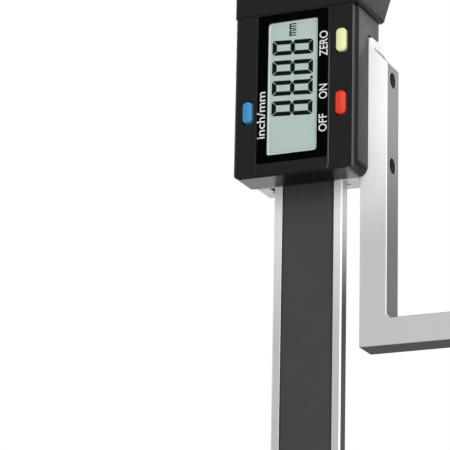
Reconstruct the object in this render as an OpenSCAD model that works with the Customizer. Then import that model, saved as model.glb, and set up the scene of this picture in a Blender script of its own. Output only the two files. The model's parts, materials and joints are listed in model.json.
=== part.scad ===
// Digital height gauge. A display head slides on an upright beam that stands in a magnetic base, and an
// L-shaped arm on the head carries the measuring face down beside the beam to the table.
// X is right, Y is back and Z is up. The origin is on the table, under the middle of the beam's front face.
// Pieces of the head are drawn with Z = 0 at the slider's lower end and lifted into place by on_head().

/* [Reading] */
// Height of the measuring face above the table
reading = 88.88; // [5:0.01:100]
// Greatest height that the gauge measures
range_max = 100; // [100:5:150]

/* [Beam] */
// Width of the beam
beam_w = 16; // [15:0.5:20]
// Thickness of the beam
beam_t = 3.2; // [2.8:0.1:4.5]
// Length of beam left above the head at its highest reading
beam_spare = 12.4; // [9:0.2:30]
// Width of the recess that holds the scale strip
strip_w = 12.1; // [9:0.1:12.6]
// Thickness of the measuring strip that is glued into the recess
stator_t = 0.3; // [0.2:0.05:0.5]
// Thickness of the printed film over the strip
film_t = 0.1; // [0.05:0.05:0.2]

/* [Slider] */
// Thickness of the slider behind the beam
slider_back_t = 3.55; // [3:0.05:5]
// Thickness of the slider's right wall
slider_right_t = 4.05; // [3.6:0.05:6]
// Thickness of the slider's left wall
slider_left_t = 2.95; // [2.6:0.05:5]
// Thickness of the two lips that hold the beam from in front
lip_t = 0.5; // [0.4:0.05:0.8]
// How far each lip reaches over the beam
lip_w = 1.1; // [0.6:0.05:1.5]
// Radius of the relief cut in the channel's back corners
relief_r = 0.55; // [0.4:0.05:0.7]
// Thickness of the gib strip
gib_t = 1; // [0.8:0.05:1.5]
// How far the gib strip stays back from the slider's ends
gib_setback = 1; // [0.5:0.1:3]
// Radius of the gib's set screws
gib_screw_r = 1; // [0.8:0.05:1.1]
// Height of the lower gib screw
gib_screw_low = 14; // [12:0.5:18]
// Height of the upper gib screw
gib_screw_high = 36; // [28:0.5:38]

/* [Arm] */
// Width of the arm and of its upright bar
arm_w = 6.2; // [5.5:0.1:9]
// Distance from the slider's lower end down to the measuring face
foot_drop = 37.6; // [34:0.2:50]
// Height of the foot
foot_h = 6; // [4:0.1:10]
// Reach of the foot from the arm's left side
foot_reach = 40; // [25:0.5:60]
// Size of the small flat in the arm's inner corner
arm_corner = 0.9; // [0.3:0.1:2]
// Distance from the bar's top down to where its slope starts
arm_shoulder = 6.4; // [6:0.1:9]
// Rise of that slope
arm_slope_h = 3.24; // [2:0.02:3.6]
// Width that is left above the slope
arm_neck_w = 2.6; // [2.2:0.1:3.4]
// Radius of the recesses for the arm's screws
arm_recess_r = 1.7; // [1.6:0.05:2.2]
// Depth of those recesses
arm_recess_l = 3; // [2.4:0.1:3.6]
// Height of the lower arm screw
arm_screw_low = 3; // [2.6:0.1:3.5]
// Distance from the slope down to the upper arm screw
arm_screw_inset = 3; // [2.6:0.1:6]

/* [Housing] */
// Length of the battery bay above the display
bay_l = 24.4; // [20:0.2:34]
// Depth of the housing in front of the slider
housing_d = 7.3; // [7:0.05:9]
// Thickness of the housing's side walls
shell_t = 1.6; // [1.2:0.05:2]
// Thickness of the housing's front wall
face_t = 1.4; // [1:0.05:1.8]
// Thickness of the wall at the housing's lower end
floor_t = 1.6; // [1.3:0.05:2.5]
// Radius of the housing's lower corners
corner_r = 2.4; // [1:0.1:3]
// Width of the rounding along the housing's front left edge, seen from in front
edge_w = 1; // [0.2:0.05:1.2]
// Depth of that rounding, seen from the side
edge_d = 2; // [0.5:0.05:2.2]
// Width and depth of the step along the housing's front right edge
edge_step = [0.7, 1.2]; // [0.6:0.05:1.2]
// How far the display panel stands proud of the front
panel_rise = 0.2; // [0.1:0.05:0.4]
// How far the housing's right wing reaches back past the beam's front
wing_reach = 5.6; // [4:0.1:6]
// Height of the wing below the seam
wing_h = 5; // [3.6:0.1:5.2]
// Radius of the four housing screws
case_screw_r = 0.8; // [0.7:0.05:0.9]
// Distance of the lower housing screws from the slider's lower end
case_screw_low = 7; // [6.5:0.1:9]
// Distance of the upper housing screws from the slider's upper end
case_screw_high = 3.5; // [3:0.1:4]

/* [Display] */
// Distance from the slider's lower end up to the bezel
bezel_z = 3.05; // [3:0.05:5]
// Thickness of the bezel
bezel_t = 0.6; // [0.4:0.05:0.8]
// Width of the window
window_w = 11.8; // [10:0.05:13]
// Height of the window
window_h = 30.5; // [28:0.05:40]
// How far the window's middle is left of the beam's middle
window_shift = 0.7; // [0:0.05:1]
// Width of the bezel beside the window, on the left and on the right
bezel_side = [2.25, 2.45]; // [1.8:0.05:2.6]
// Width of the bezel below and above the window
bezel_end = [1.75, 1.8]; // [1.5:0.05:2.5]
// Thickness of the display's glass
lcd_t = 1.8; // [1.2:0.1:2.2]
// Width of the display's rim that is hidden behind the bezel
lcd_rim = 1; // [0.8:0.05:1.2]
// Thickness of the circuit board
board_t = 1; // [0.8:0.05:1.2]

/* [Buttons] */
// Width of a button
button_w = 2.4; // [2:0.05:2.8]
// Length of a button
button_l = 5.3; // [4.5:0.05:6.5]
// How far a button stands proud of the front
button_rise = 0.85; // [0.6:0.05:1.2]
// Travel of a button
button_travel = 0.5; // [0.3:0.05:0.55]
// Distance from the housing's left side and right side to the middle of the buttons there
button_inset = [3.65, 3.2]; // [2.9:0.05:3.7]
// Distance from the seam above the display down to the zero button
zero_button_drop = 8.5; // [7:0.1:12]
// Height of the power button
power_button_z = 14.75; // [13:0.05:18]
// Height of the unit button
unit_button_z = 15.1; // [13:0.1:28]

/* [Thumb roller] */
// Radius of the thumb roller
roller_r = 5.25; // [5:0.05:5.5]
// Thickness of the thumb roller
roller_t = 2.8; // [2:0.05:2.9]
// Radius of the roller's pin
pin_r = 1; // [0.7:0.05:1.2]
// How far the thumb rest stands out beyond the slider's side
rest_out = 5.1; // [4.6:0.1:5.4]
// How far the thumb rest reaches back past the beam's front
rest_reach = 6.6; // [6:0.1:7]

/* [Lock screw] */
// Radius of the lock screw's knob
knob_r = 3.4; // [3:0.1:5]
// Length of the knob
knob_l = 5; // [3:0.1:8]
// Radius of the lock screw's thread
lock_r = 1.5; // [1:0.05:1.55]

/* [Battery] */
// Diameter of the button cell
cell_d = 11.6; // [9.5:0.1:12.5]
// Thickness of the button cell
cell_h = 5.4; // [4:0.1:5.4]
// Thickness of the battery cover's walls
cover_t = 1.2; // [1:0.05:1.4]
// How far the cover stands proud of the housing's front
cover_rise = 0.2; // [0.2:0.05:0.5]

/* [Base] */
// Width of the base
base_w = 64; // [56:1:90]
// Depth of the base
base_d = 34; // [30:1:60]
// Height of the base
base_h = 28; // [26:0.5:32]
// Thickness of the plate that clamps the beam
clamp_t = 6; // [5.5:0.1:9]
// Thickness of the base's bottom under the beam
base_floor_t = 3; // [2:0.1:5]
// Radius of the clamp screws' thread
clamp_screw_r = 2; // [1.5:0.1:2.4]
// Diameter of the two magnets
magnet_d = 14; // [10:0.5:16]
// Thickness of the magnets
magnet_h = 5.5; // [3:0.1:6]
// Radius of the finger grooves along the base
groove_r = 7; // [5:0.5:9]
// Depth of those grooves
groove_d = 1.4; // [0.5:0.1:2]

/* [Fits] */
// Clearance of what slides on or in another piece
slide_play = 0.05; // [0.03:0.01:0.1]
// Gap between neighbouring covers and panels
panel_gap = 0.15; // [0.1:0.05:0.2]
// Clearance of a screw in its thread
thread_play = 0.02; // [0.01:0.01:0.05]
// Chamfer along the edges of metal pieces
metal_ease = 0.3; // [0.1:0.05:0.4]

/* [Hidden] */

$fn = 64;
cut = 0.5;
beam_half = beam_w / 2;
slider_z = foot_drop + reading;
window_x = -window_shift - window_w / 2;
window_z = bezel_z + bezel_end[0];
bezel_x = window_x - bezel_side[0];
bezel_w = window_w + bezel_side[0] + bezel_side[1];
bezel_h = window_h + bezel_end[0] + bezel_end[1];
bezel_margin = 0.5;
seam_z = bezel_z + bezel_h + bezel_margin;
head_l = seam_z + bay_l;
beam_top = foot_drop + range_max + head_l + beam_spare;

// The channel in the slider, and the slider around it
channel_right = beam_half + slide_play;
gib_left = -beam_half - slide_play - gib_t;
channel_left = gib_left - 2 * slide_play;
channel_back = beam_t + slide_play;
slider_right = channel_right + slider_right_t;
slider_left = channel_left - slider_left_t;
slider_front = -slide_play - lip_t;
slider_back = channel_back + slider_back_t;
beam_mid_y = beam_t / 2;
gib_socket_l = 1.2;

// The housing in front of the slider
skirt_gap = [1.05, 0.3];
skirt_y = -0.25;
housing_left = slider_left - skirt_gap[0] - shell_t;
housing_right = slider_right + skirt_gap[1] + shell_t;
edge_steps = 6;
side_ease = [edge_step[0], 0.7];
inner_right = housing_right - shell_t;
inner_left = housing_left + shell_t;
face_y = slider_front - housing_d;
face_back = face_y + face_t;
seam_gap = 0.1;
main_top = seam_z - seam_gap;
wing_z = seam_z - wing_h;
bulkhead_t = 0.9;
panel_y = face_y - panel_rise;
panel_margin = 0.4;
panel_round = 1;
panel_low = 0.25;
case_screw_zs = [case_screw_low, head_l - case_screw_high];
case_screw_xs = [(slider_left + channel_left) / 2, (slider_right + channel_right) / 2];
case_head_r = case_screw_r + 0.6;
case_head_l = 1;
case_head_play = 0.1;
case_head_back = slider_back - case_head_play;
case_slot_w = 0.35;
boss_r = case_screw_r + 0.9;
boss_front = face_back - 0.1;
case_screw_bite = 3.4;
case_screw_tip = slider_front - case_screw_bite;

// The display: bezel, window, glass and the board that carries them
bezel_proud = 0.05;
bezel_y = panel_y - bezel_proud;
bezel_back = bezel_y + bezel_t;
bezel_round = 0.5;
window_round = 0.7;
window_back = bezel_back;
lcd_front = bezel_back + 0.1;
lcd_back = lcd_front + lcd_t;
board_front = slider_front - board_t;
board_side_gap = 0.3;
board_top = main_top - bulkhead_t - panel_gap;
board_bottom = floor_t + 0.3;
zebra_w = 1;
zebra_end_gap = 1.5;
chip_w = 6;
chip_h = 0.9;
chip_ease = 0.2;
dome_r = 1.1;

// The buttons
button_round = 0.65;
button_front = face_y - button_rise;
button_rim_t = 0.7;
button_rim_l = 0.8;
button_stem_r = 0.9;
dome_h = 0.5;
dome_top = board_front - dome_h;
button_stem_end = dome_top - button_travel - slide_play;
left_button_x = housing_left + button_inset[0];
right_button_x = housing_right - button_inset[1];
zero_button_z = seam_z - zero_button_drop;

// The battery bay and its cover
bay_floor_t = 0.6;
bay_floor_y = slider_front - slide_play - bay_floor_t;
contact_t = 0.25;
cell_back = bay_floor_y - contact_t;
cell_front = cell_back - cell_h;
cell_r = cell_d / 2;
cell_foot_h = 0.6;
cell_foot_r = cell_r * 0.85;
contact_r = cell_r * 0.7;
contact_gap = 0.6;
cell_x = -1;
cell_play = 0.3;
well_wall = 1;
bay_wall = 1.2;
bay_top = head_l - cover_t - panel_gap;
cover_left = housing_left - cover_rise;
cover_front = face_y - cover_rise;
cover_inner_front = cover_front + cover_t;
bay_left = cover_left + cover_t + panel_gap;
bay_front = cover_inner_front + panel_gap;
rest_inner = inner_right + 0.5;
cover_right = rest_inner - panel_gap;
bay_right = cover_right - cover_t - panel_gap;
cover_right_setback = 1.95;
cover_right_back = slider_front - cover_right_setback;
rail_d = 0.45;
rail_y = -3.6;
rail_w = 0.8;
rail_low_gap = 1;
tail_w = 2;

// The thumb roller and its rest
roller_gap = 0.4;
roller_x = beam_half + roller_r + slide_play;
roller_z = (seam_z + head_l) / 2;
roller_y = [beam_mid_y - roller_t / 2, beam_mid_y + roller_t / 2];
pocket_y = [-slide_play, channel_back];
knurl_count = 40;
knurl_r = 0.28;
rest_right = slider_right + rest_out;
rest_lip = 1.05;
rest_round = 1;
rest_drop = 0.2;
rest_high_gap = 0.3;
wing_past = 3;
rest_low = seam_z - rest_drop;
rest_high = head_l - rest_high_gap;
rest_flare_z = 8;
pin_front = cover_right_back + 0.3;

// The lock screw
lock_z = roller_z;
lock_tip_r = lock_r - slide_play;
pad_l = 1.15;
knob_gap = 0.35;
knob_right = cover_left - knob_gap;
knob_grooves = 24;
knob_groove_r = 0.35;
grip_l = 12;
grip_r = 0.3;
grip_pitch = 1.5;
grip_count = 5;

// The arm and its screws
arm_left = slider_right;
arm_right = arm_left + arm_w;
arm_back = slider_back;
wing_gap = 0.6;
arm_top = wing_z - wing_gap;
arm_slope_z = arm_top - arm_shoulder;
arm_neck_step = 0.65;
arm_neck_rise = 1.6;
arm_mid_y = arm_back / 2;
arm_floor_x = arm_right - arm_recess_l;
arm_screw_r = 0.95;
arm_head_r = arm_recess_r - 0.2;
arm_head_l = 1.6;
arm_screw_wall = 1;
arm_screw_tip = channel_right + arm_screw_wall;
arm_screw_zs = [arm_screw_low, arm_slope_z - arm_screw_inset];

// The stand: base, clamp plate, magnets and end stop
base_gap = 0.7;
base_right = arm_left - base_gap;
base_left = base_right - base_w;
base_front = -clamp_t;
base_back = base_front + base_d;
base_ease = 1.2;
clamp_top = base_h - 0.5;
clamp_screw_gap = 6;
clamp_screw_zs = [base_floor_t + clamp_screw_gap, clamp_top - clamp_screw_gap];
clamp_head_r = clamp_screw_r * 1.75;
clamp_head_l = clamp_screw_r * 2;
clamp_head_play = 0.2;
clamp_head_y = base_front + clamp_head_l + clamp_head_play;
clamp_socket_r = clamp_screw_r * 0.87;
clamp_bite = 8;
clamp_tip_y = beam_t + clamp_bite;
groove_ends = 8;
magnet_inset = 4;
magnet_y = base_back - magnet_d / 2 - magnet_inset;
magnet_xs = [base_left + magnet_d / 2 + magnet_inset, base_right - magnet_d / 2 - magnet_inset];
magnet_lift = 0.2;
magnet_screw_r = 1.5;
magnet_head_r = 3;
magnet_head_l = magnet_head_r - magnet_screw_r;
magnet_bite = 5;
magnet_screw_top = magnet_h + magnet_bite;
strip_low_gap = 3;
strip_top_gap = 2;
strip_low = base_h + strip_low_gap;
strip_top = beam_top - strip_top_gap;
stop_t = 3.2;
stop_h = 7;
stop_z = beam_top - stop_h / 2;
stop_back = beam_t + stop_t;
stop_screw_r = 1;
stop_head_r = 1.9;
stop_head_play = 0.1;
stop_head_l = 1.2;
stop_screw_x = 4.5;
stop_bite = 2;
stop_screw_tip = beam_t - stop_bite;
groove_centre = groove_r - groove_d;
groove_z = base_h * 0.6;

// Rod along X, Y or Z between two places
module x_rod(from, to, y, z, r) {
    translate([from, y, z]) rotate([0, 90, 0]) cylinder(r = r, h = to - from);
}

module y_rod(from, to, x, z, r) {
    translate([x, to, z]) rotate([90, 0, 0]) cylinder(r = r, h = to - from);
}

module z_rod(from, to, x, y, r) {
    translate([x, y, from]) cylinder(r = r, h = to - from);
}

// Outline drawn in Y and Z, carried along X, and outline drawn in X and Z, carried along Y
module along_x(from, to) {
    translate([from, 0, 0]) rotate([90, 0, 90]) linear_extrude(to - from) children();
}

module along_y(from, to) {
    translate([0, to, 0]) rotate([90, 0, 0]) linear_extrude(to - from) children();
}

module along_z(from, to) {
    translate([0, 0, from]) linear_extrude(to - from) children();
}

// Block between two opposite corners
module block(lo, hi) {
    translate(lo) cube(hi - lo);
}

// Rectangle with its corners cut off at 45 degrees, and one with round corners
module eased_rect(lo, hi, c) {
    polygon([
        [lo.x + c, lo.y], [hi.x - c, lo.y], [hi.x, lo.y + c], [hi.x, hi.y - c],
        [hi.x - c, hi.y], [lo.x + c, hi.y], [lo.x, hi.y - c], [lo.x, lo.y + c]
    ]);
}

module round_rect(lo, hi, r) {
    translate([lo.x + r, lo.y]) square([hi.x - lo.x - 2 * r, hi.y - lo.y]);
    translate([lo.x, lo.y + r]) square([hi.x - lo.x, hi.y - lo.y - 2 * r]);
    for (x = [lo.x + r, hi.x - r], y = [lo.y + r, hi.y - r]) translate([x, y]) circle(r);
}

// Block between two opposite corners, with every edge chamfered
module eased_block(lo, hi, c) {
    intersection() {
        along_z(lo.z, hi.z) eased_rect([lo.x, lo.y], [hi.x, hi.y], c);
        along_y(lo.y, hi.y) eased_rect([lo.x, lo.z], [hi.x, hi.z], c);
        along_x(lo.x, hi.x) eased_rect([lo.y, lo.z], [hi.y, hi.z], c);
    }
}

module on_head() {
    translate([0, 0, slider_z]) children();
}

// Stand
module base_block() {
    color("#2b2b2d") difference() {
        eased_block([base_left, base_front, 0], [base_right, base_back, base_h], base_ease);
        block([-beam_half - slide_play, base_front - cut, base_floor_t],
            [beam_half + slide_play, beam_t, base_h + cut]);
        for (z = clamp_screw_zs) y_rod(beam_t - cut, clamp_tip_y + cut, 0, z, clamp_screw_r);
        for (x = magnet_xs) {
            z_rod(-cut, magnet_h + magnet_lift, x, magnet_y, magnet_d / 2 + slide_play);
            z_rod(0, magnet_screw_top + cut, x, magnet_y, magnet_screw_r);
        }
        for (y = [base_front - groove_centre, base_back + groove_centre])
            x_rod(base_left + groove_ends, -beam_half - groove_ends, y, groove_z, groove_r);
    }
}

module clamp_plate() {
    color("#3a3a3c") difference() {
        eased_block([-beam_half, base_front, base_floor_t], [beam_half, 0, clamp_top], metal_ease);
        for (z = clamp_screw_zs) {
            y_rod(base_front - cut, clamp_head_y, 0, z, clamp_head_r + clamp_head_play);
            y_rod(clamp_head_y - cut, cut, 0, z, clamp_screw_r + slide_play);
        }
    }
}

module clamp_screws() {
    color("#1c1c1e") for (z = clamp_screw_zs) difference() {
        union() {
            y_rod(clamp_head_y - clamp_head_l, clamp_head_y, 0, z, clamp_head_r);
            y_rod(clamp_head_y - cut, clamp_tip_y, 0, z, clamp_screw_r - thread_play);
        }
        translate([0, clamp_head_y - clamp_head_l / 2, z]) rotate([90, 0, 0])
            cylinder(r = clamp_socket_r, h = clamp_head_l, $fn = 6);
    }
}

module base_magnets() {
    color("#b9babd") for (x = magnet_xs) difference() {
        z_rod(magnet_lift, magnet_h + magnet_lift, x, magnet_y, magnet_d / 2);
        z_rod(0, magnet_h + cut, x, magnet_y, magnet_screw_r + slide_play);
        translate([x, magnet_y, magnet_lift - thread_play])
            cylinder(r1 = magnet_head_r + slide_play, r2 = magnet_screw_r + slide_play, h = magnet_head_l);
    }
}

module magnet_screws() {
    color("#8d8e91") for (x = magnet_xs) difference() {
        union() {
            translate([x, magnet_y, magnet_lift])
                cylinder(r1 = magnet_head_r, r2 = magnet_screw_r - thread_play, h = magnet_head_l);
            z_rod(magnet_lift + cut, magnet_screw_top, x, magnet_y, magnet_screw_r - thread_play);
        }
        for (turn = [0, 90]) translate([x, magnet_y, magnet_lift]) rotate([0, 0, turn])
            cube([magnet_screw_r * 2, magnet_screw_r / 3, magnet_screw_r], center = true);
    }
}

module beam() {
    color("#c9cacd") difference() {
        eased_block([-beam_half, 0, base_floor_t], [beam_half, beam_t, beam_top], metal_ease);
        block([-strip_w / 2, -cut, strip_low], [strip_w / 2, stator_t + film_t, strip_top]);
        for (z = clamp_screw_zs) y_rod(-cut, beam_t + cut, 0, z, clamp_screw_r + slide_play);
        for (x = [-stop_screw_x, stop_screw_x])
            y_rod(stop_screw_tip, beam_t + cut, x, stop_z, stop_screw_r);
    }
}

module stator_strip() {
    color("#7a5a2c")
        block([-strip_w / 2 + slide_play, film_t, strip_low],
            [strip_w / 2 - slide_play, film_t + stator_t, strip_top]);
}

module scale_film() {
    color("#434141")
        block([-strip_w / 2 + slide_play, 0, strip_low], [strip_w / 2 - slide_play, film_t, strip_top]);
}

module end_stop() {
    color("#9a9b9e") difference() {
        eased_block([-beam_half, beam_t, beam_top - stop_h], [beam_half, stop_back, beam_top], metal_ease);
        for (x = [-stop_screw_x, stop_screw_x]) {
            y_rod(beam_t - cut, stop_back + cut, x, stop_z, stop_screw_r + slide_play);
            y_rod(stop_back - stop_head_l, stop_back + cut, x, stop_z, stop_head_r + stop_head_play);
        }
    }
}

module end_stop_screws() {
    color("#6d6e71") for (x = [-stop_screw_x, stop_screw_x]) difference() {
        union() {
            y_rod(stop_back - stop_head_l, stop_back, x, stop_z, stop_head_r);
            y_rod(stop_screw_tip, stop_back - cut, x, stop_z, stop_screw_r - thread_play);
        }
        translate([x, stop_back, stop_z])
            cube([stop_head_r * 3, stop_head_l, stop_head_r / 4], center = true);
    }
}

// Slider and arm
module roller_pocket() {
    y_rod(pocket_y[0], pocket_y[1], roller_x, roller_z, roller_r + roller_gap);
}

module slider_body() {
    color("#d0d1d3") on_head() difference() {
        eased_block([slider_left, slider_front, 0], [slider_right, slider_back, head_l], metal_ease);
        block([channel_left, -slide_play, -cut], [channel_right, channel_back, head_l + cut]);
        block([-beam_half + lip_w, slider_front - cut, -cut], [beam_half - lip_w, 0, head_l + cut]);
        for (x = [channel_left, channel_right]) z_rod(-cut, head_l + cut, x, channel_back, relief_r);
        roller_pocket();
        for (z = [gib_screw_low, gib_screw_high])
            x_rod(slider_left - cut, channel_left + cut, beam_mid_y, z, gib_screw_r);
        x_rod(slider_left - cut, channel_left + cut, beam_mid_y, lock_z, lock_r);
        for (z = arm_screw_zs)
            x_rod(arm_screw_tip - cut / 2, slider_right + cut, arm_mid_y, z, arm_screw_r + thread_play);
        for (x = case_screw_xs, z = case_screw_zs) {
            y_rod(slider_front - cut, slider_back + cut, x, z, case_screw_r + slide_play);
            y_rod(case_head_back - case_head_l, slider_back + cut, x, z, case_head_r + case_head_play);
        }
    }
}

module gib_strip() {
    color("#b8924a") on_head()
        eased_block([gib_left, slide_play, gib_setback],
            [gib_left + gib_t, beam_t - slide_play, head_l - gib_setback], metal_ease / 2);
}

module gib_screws() {
    color("#2c2c2e") on_head() for (z = [gib_screw_low, gib_screw_high]) difference() {
        x_rod(slider_left + metal_ease, gib_left, beam_mid_y, z, gib_screw_r - thread_play);
        translate([slider_left, beam_mid_y, z]) rotate([0, 90, 0])
            cylinder(r = gib_screw_r / 2, h = gib_socket_l, $fn = 6);
    }
}

module lock_pad() {
    color("#b8924a") on_head() x_rod(gib_left - pad_l, gib_left, beam_mid_y, lock_z, lock_tip_r);
}

module arm_outline() {
    polygon([
        [arm_left, -foot_drop], [arm_left + foot_reach, -foot_drop],
        [arm_left + foot_reach, foot_h - foot_drop], [arm_right + arm_corner, foot_h - foot_drop],
        [arm_right, foot_h - foot_drop + arm_corner], [arm_right, arm_slope_z],
        [arm_left + arm_neck_w + arm_neck_step, arm_slope_z + arm_slope_h],
        [arm_left + arm_neck_w, arm_slope_z + arm_slope_h + arm_neck_rise],
        [arm_left + arm_neck_w, arm_top], [arm_left, arm_top]
    ]);
}

module measuring_arm() {
    color("#c6c5c8") on_head() difference() {
        along_y(0, arm_back) arm_outline();
        for (z = arm_screw_zs) {
            x_rod(arm_floor_x, arm_right + cut, arm_mid_y, z, arm_recess_r);
            x_rod(arm_left - cut, arm_floor_x + cut, arm_mid_y, z, arm_screw_r + slide_play);
        }
    }
}

module arm_screws() {
    color("#3a3a3c") on_head() for (z = arm_screw_zs) difference() {
        union() {
            x_rod(arm_floor_x, arm_floor_x + arm_head_l, arm_mid_y, z, arm_head_r);
            x_rod(arm_screw_tip, arm_floor_x + cut, arm_mid_y, z, arm_screw_r);
        }
        translate([arm_floor_x + arm_head_l / 2, arm_mid_y, z]) rotate([0, 90, 0])
            cylinder(r = arm_head_r / 2, h = arm_head_l, $fn = 6);
    }
}

// Housing: a tub round the display, with a wing and a thumb rest on its right and a bay for the cell above
module tub_outline(lo, hi, r) {
    translate([lo.x + r, lo.y]) square([hi.x - lo.x - 2 * r, hi.y - lo.y]);
    translate([lo.x, lo.y + r]) square([hi.x - lo.x, hi.y - lo.y - r]);
    for (x = [lo.x + r, hi.x - r]) translate([x, lo.y + r]) circle(r);
}

// A cross-section whose front left corner is a quarter ellipse, and whose front right corner is a step
module eased_section(left, right, front, back) {
    turns = [0 : 90 / edge_steps : 90];
    polygon([
        [left, back],
        for (t = turns) [left + edge_w * (1 - cos(t)), front + edge_d * (1 - sin(t))],
        [right - edge_step[0], front],
        for (t = turns)
            [right - side_ease[0] * (1 - sin(t)), front + edge_step[1] + side_ease[1] * (1 - cos(t))],
        [right, back]
    ]);
}

module rest_outline(inner) {
    polygon([
        [inner, rest_low],
        for (t = [0 : 30 : 90])
            [housing_right + rest_lip - rest_round * (1 - sin(t)), rest_low + rest_round * (1 - cos(t))],
        [housing_right + rest_lip, rest_low + rest_lip],
        [rest_right, rest_low + rest_flare_z], [rest_right, rest_high - rest_flare_z],
        [housing_right + rest_lip, rest_high - rest_lip],
        [housing_right, bay_top], [inner, bay_top]
    ]);
}

module tub() {
    difference() {
        intersection() {
            along_y(face_y, skirt_y) tub_outline([housing_left, 0], [housing_right, main_top], corner_r);
            along_z(0, main_top) eased_section(housing_left, housing_right, face_y, skirt_y);
        }
        block([inner_left, face_back, floor_t], [inner_right, skirt_y + cut, main_top - bulkhead_t]);
        block([inner_left, slider_front - slide_play, -cut], [inner_right, skirt_y + cut, main_top + cut]);
    }
    along_y(panel_y, face_y + cut)
        round_rect([bezel_x - panel_margin, panel_low],
            [bezel_x + bezel_w + panel_margin, main_top], panel_round);
    for (x = case_screw_xs) y_rod(boss_front, slider_front - slide_play, x, case_screw_zs[0], boss_r);
}

module wing() {
    intersection() {
        block([inner_right, skirt_y - cut, wing_z], [housing_right, wing_reach, rest_low + cut]);
        along_x(inner_right, housing_right)
            round_rect([skirt_y - wing_past, wing_z], [wing_reach, rest_low + wing_past], panel_round);
    }
}

module thumb_rest() {
    along_y(face_y, cover_right_back) rest_outline(rest_inner);
    along_y(cover_right_back, rest_reach) rest_outline(inner_right);
}

module bay() {
    difference() {
        block([bay_left, bay_front, main_top - cut], [bay_right, slider_front - slide_play, bay_top]);
        block([bay_left + bay_wall, bay_front - cut, main_top],
            [bay_right - bay_wall, bay_floor_y, bay_top - bay_wall]);
    }
    intersection() {
        block([bay_left, bay_front, main_top], [bay_right, bay_floor_y + bay_floor_t, bay_top]);
        y_rod(cell_front, bay_floor_y + bay_floor_t, cell_x, roller_z, cell_r + cell_play + well_wall);
    }
    block([bay_right - cut, cover_right_back + panel_gap, main_top - cut],
        [inner_right + cut, slider_front - slide_play, bay_top]);
    intersection() {
        block([bay_left, bay_front, main_top], [bay_right, slider_front - slide_play, bay_top]);
        for (x = case_screw_xs) y_rod(boss_front, slider_front - slide_play, x, case_screw_zs[1], boss_r);
    }
}

module housing_openings() {
    // Bezel seat, the opening for the display's glass, and the buttons' holes
    along_y(panel_y - cut, bezel_back)
        round_rect([bezel_x - slide_play, bezel_z - slide_play],
            [bezel_x + bezel_w + slide_play, bezel_z + bezel_h + slide_play], bezel_round);
    block([window_x - lcd_rim - panel_gap, bezel_back - cut, window_z - lcd_rim - panel_gap],
        [window_x + window_w + lcd_rim + panel_gap, face_back + cut,
            window_z + window_h + lcd_rim + panel_gap]);
    button_shape(right_button_x, zero_button_z, panel_gap, face_y - cut, face_back + cut);
    button_shape(right_button_x, power_button_z, panel_gap, face_y - cut, face_back + cut);
    button_shape(left_button_x, unit_button_z, panel_gap, face_y - cut, face_back + cut);
    // Cell well, with room for the contact on its left and for the tail that runs down to the board
    y_rod(bay_front - cut, bay_floor_y, cell_x, roller_z, cell_r + cell_play);
    block([cell_x - cell_r - cell_play - contact_t, bay_front - cut, roller_z - tail_w - panel_gap],
        [cell_x, bay_floor_y, roller_z + tail_w + panel_gap]);
    block([cell_x - tail_w / 2 - panel_gap, bay_floor_y - contact_t - panel_gap, main_top - bulkhead_t - cut],
        [cell_x + tail_w / 2 + panel_gap, bay_floor_y, roller_z]);
    // Grooves for the cover's rails
    for (x = [bay_left - cut, bay_right - rail_d])
        block([x, rail_y - panel_gap, main_top], [x + rail_d + cut, rail_y + rail_w + panel_gap, head_l]);
    // Roller pocket, its pin and the four case screws
    roller_pocket();
    y_rod(pin_front, rest_reach + cut, roller_x, roller_z, pin_r + thread_play);
    for (x = case_screw_xs, z = case_screw_zs)
        y_rod(case_screw_tip - cut / 2, slider_front + cut, x, z, case_screw_r);
}

module front_housing() {
    color("#262525") on_head() difference() {
        union() {
            tub();
            wing();
            thumb_rest();
            bay();
        }
        housing_openings();
    }
}

module housing_screws() {
    color("#8d8e91") on_head() for (x = case_screw_xs, z = case_screw_zs) difference() {
        union() {
            y_rod(case_head_back - case_head_l, case_head_back, x, z, case_head_r);
            y_rod(case_screw_tip, slider_back - cut, x, z, case_screw_r - thread_play);
        }
        for (turn = [0, 90]) translate([x, case_head_back, z]) rotate([0, turn, 0])
            cube([case_head_r * 1.3, case_head_l, case_slot_w], center = true);
    }
}

// Display
module display_bezel() {
    color("black") on_head() difference() {
        along_y(bezel_y, bezel_back)
            round_rect([bezel_x, bezel_z], [bezel_x + bezel_w, bezel_z + bezel_h], bezel_round);
        along_y(bezel_y - cut, bezel_back + cut)
            round_rect([window_x, window_z], [window_x + window_w, window_z + window_h], window_round);
    }
}

module display_window() {
    color("#dfe6e2", 0.4) on_head() along_y(panel_y, window_back)
        round_rect([window_x + thread_play, window_z + thread_play],
            [window_x + window_w - thread_play, window_z + window_h - thread_play], window_round);
}

module lcd_panel() {
    color("#b3c4c0") on_head()
        block([window_x - lcd_rim, lcd_front, window_z - lcd_rim],
            [window_x + window_w + lcd_rim, lcd_back, window_z + window_h + lcd_rim]);
}

module zebra_strips() {
    color("#d98f8f") on_head() for (x = [window_x - lcd_rim, window_x + window_w + lcd_rim - zebra_w])
        block([x, lcd_back, window_z + zebra_end_gap],
            [x + zebra_w, board_front, window_z + window_h - zebra_end_gap]);
}

module circuit_board() {
    color("#2f6b45") on_head() difference() {
        block([inner_left + board_side_gap, board_front, board_bottom],
            [inner_right - board_side_gap, slider_front, board_top]);
        for (x = case_screw_xs)
            y_rod(board_front - cut, slider_front + cut, x, case_screw_zs[0], boss_r + panel_gap);
    }
}

module controller_chip() {
    color("#151516") on_head()
        eased_block([-chip_w / 2, board_front - chip_h, (board_top - chip_w) / 2],
            [chip_w / 2, board_front, (board_top + chip_w) / 2], chip_ease);
}

module switch_domes() {
    color("#c9b36a") on_head() for (p = [[right_button_x, zero_button_z], [right_button_x, power_button_z],
            [left_button_x, unit_button_z]])
        y_rod(dome_top, board_front, p.x, p.y, dome_r);
}

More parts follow.
